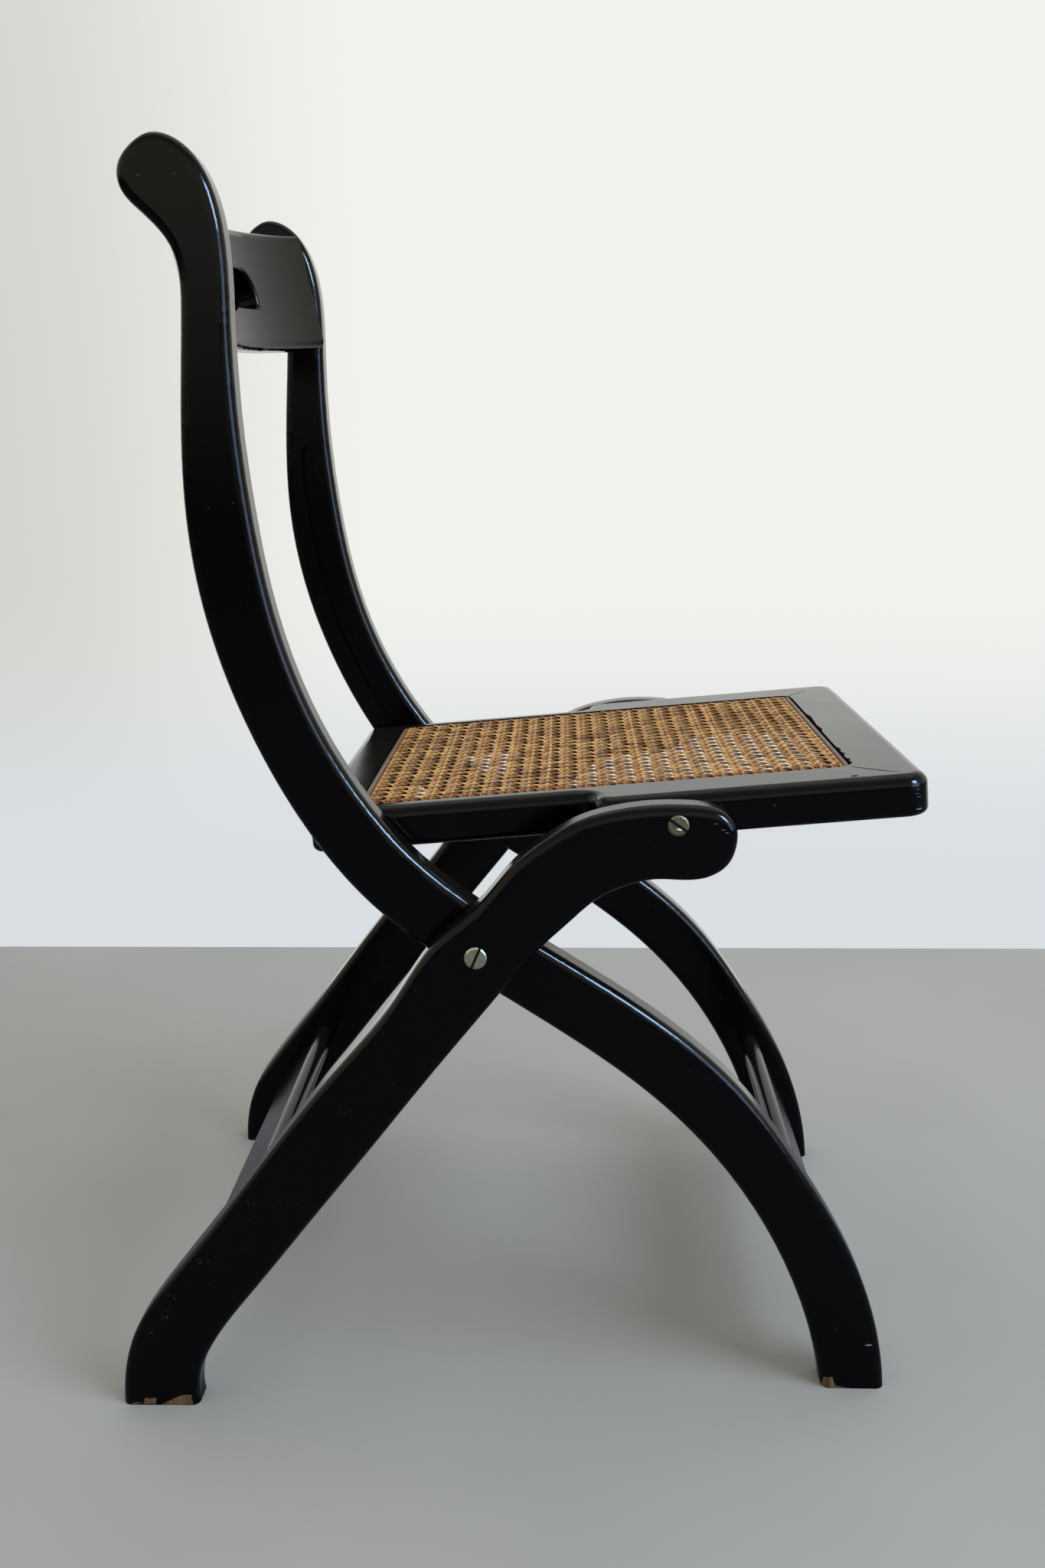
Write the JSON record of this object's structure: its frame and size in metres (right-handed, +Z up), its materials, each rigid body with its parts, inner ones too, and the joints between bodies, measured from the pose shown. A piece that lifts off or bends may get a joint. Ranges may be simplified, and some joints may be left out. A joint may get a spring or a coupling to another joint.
{
  "type": "folding chair",
  "caption": "Folding side chair: S-curved stiles with a slotted crest rail, crossed rear legs that end in short arms, and a caned seat that lifts between the stiles.",
  "frame": {"origin": "on the floor, in the middle of the chair's depth and width", "axes": "+X to the chair's front, +Y to its left, +Z up"},
  "size_m": [0.5234, 0.4184, 0.8001],
  "materials": {
    "black_lacquered_wood": "gloss black lacquer",
    "cane": "satin, woven",
    "reed": "satin",
    "bare_beech": "matt",
    "nickelled_steel": "polished",
    "brass": "dull"
  },
  "bodies": {
    "back_frame": {"back_stile_right": "black_lacquered_wood", "back_stile_left": "black_lacquered_wood", "crest_rail": "black_lacquered_wood", "front_stretcher": "black_lacquered_wood", "pivot_nut_right": "nickelled_steel", "pivot_nut_left": "nickelled_steel", "pivot_screw_right": "nickelled_steel", "pivot_screw_left": "nickelled_steel", "pivot_washer_right": "nickelled_steel", "pivot_washer_left": "nickelled_steel"},
    "rear_frame": {"rear_leg_right": "black_lacquered_wood", "rear_leg_left": "black_lacquered_wood", "rear_stretcher": "black_lacquered_wood"},
    "seat": {"seat_front_rail": "black_lacquered_wood", "seat_rear_rail": "black_lacquered_wood", "cane_panel": "cane", "cane_reed": "reed", "seat_side_rail_right": "black_lacquered_wood", "seat_side_rail_left": "black_lacquered_wood", "seat_corner_dowel_right": "bare_beech", "seat_corner_dowel_left": "bare_beech", "slide_pin_right": "brass", "slide_pin_left": "brass", "seat_screw_right": "brass", "seat_screw_left": "brass", "seat_sleeve_right": "brass", "seat_sleeve_left": "brass", "seat_washer_right": "brass", "seat_washer_left": "brass"}
  },
  "joints": [
    {"name": "fold", "type": "hinge", "parent": "back_frame", "child": "rear_frame", "pos_m": [-0.02109, 0, 0.31448], "axis": [0, -1, 0], "range_deg": [0, 66]},
    {"name": "seat_tilt", "type": "hinge", "parent": "rear_frame", "child": "seat", "pos_m": [0.1029, 0, 0.39872], "axis": [0, -1, 0], "range_deg": [-122, 0]}
  ],
  "couplings": [
    {"joint": "seat_tilt", "follows": "fold", "ratio": -1.84}
  ]
}
